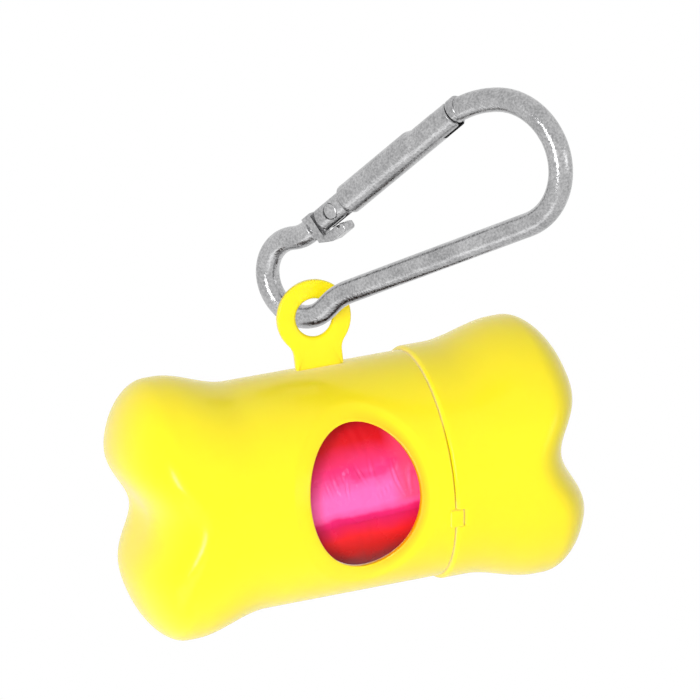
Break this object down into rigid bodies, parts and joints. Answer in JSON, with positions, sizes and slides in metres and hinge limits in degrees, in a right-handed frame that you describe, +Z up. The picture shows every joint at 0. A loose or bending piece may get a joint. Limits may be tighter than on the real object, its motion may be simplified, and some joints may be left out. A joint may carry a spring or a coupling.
{
  "type": "dog waste bag dispenser",
  "caption": "Bone-shaped dispenser for a roll of dog waste bags, with an oval pull-out window, a push-on end cap and a hanging tab on a spring-gate snap hook.",
  "frame": {"origin": "centre of the snap hook's big bend, the eye that a lead or belt loop hangs from", "axes": "+Z up, the way the eye is pulled when the dispenser hangs; +X along the bone towards the end cap; the pull-out window faces -Y"},
  "size_m": [0.0815, 0.0654, 0.0922],
  "materials": {
    "yellow_plastic": "satin-gloss moulded, coloured through",
    "pink_film": "glossy thin film, tightly rolled",
    "core_board": "matt wound board",
    "plated_steel": "bright nickel plate",
    "spring_steel": "drawn wire"
  },
  "bodies": {
    "hook": {"carabiner_hook": "plated_steel"},
    "gate": {"carabiner_gate": "plated_steel", "gate_rivet": "plated_steel", "latch_pin": "plated_steel", "gate_spring": "spring_steel"},
    "plunger": {"spring_plunger": "spring_steel"},
    "bone": {"main_body": "yellow_plastic"},
    "cap": {"end_cap": "yellow_plastic"},
    "roll": {"bag_roll": "pink_film", "roll_core": "core_board"}
  },
  "joints": [
    {"name": "body_swing", "type": "hinge", "parent": "hook", "child": "bone", "pos_m": [-0.02639, 0.03414, -0.02743], "axis": [0, 1, 0], "range_deg": [-35, 35]},
    {"name": "cap_pull", "type": "slide", "parent": "bone", "child": "cap", "axis": [1, 0, 0], "range_m": [0, 0.035]},
    {"name": "roll_spin", "type": "hinge", "parent": "bone", "child": "roll", "pos_m": [-0.02489, 0.03414, -0.05753], "axis": [1, 0, 0], "continuous": true},
    {"name": "gate_open", "type": "hinge", "parent": "hook", "child": "gate", "pos_m": [-0.02188, 0.02801, -0.00817], "axis": [0.788, 0.6157, 0], "range_deg": [0, 28], "stiffness_Nm_per_rad": 0.03},
    {"name": "plunger_press", "type": "slide", "parent": "gate", "child": "plunger", "axis": [0.5175, -0.6624, 0.5417], "range_m": [0, 0.00045], "deforming": ["gate_spring"]}
  ],
  "couplings": [
    {"joint": "plunger_press", "follows": "gate_open", "m_per_rad": 0.00092083}
  ]
}
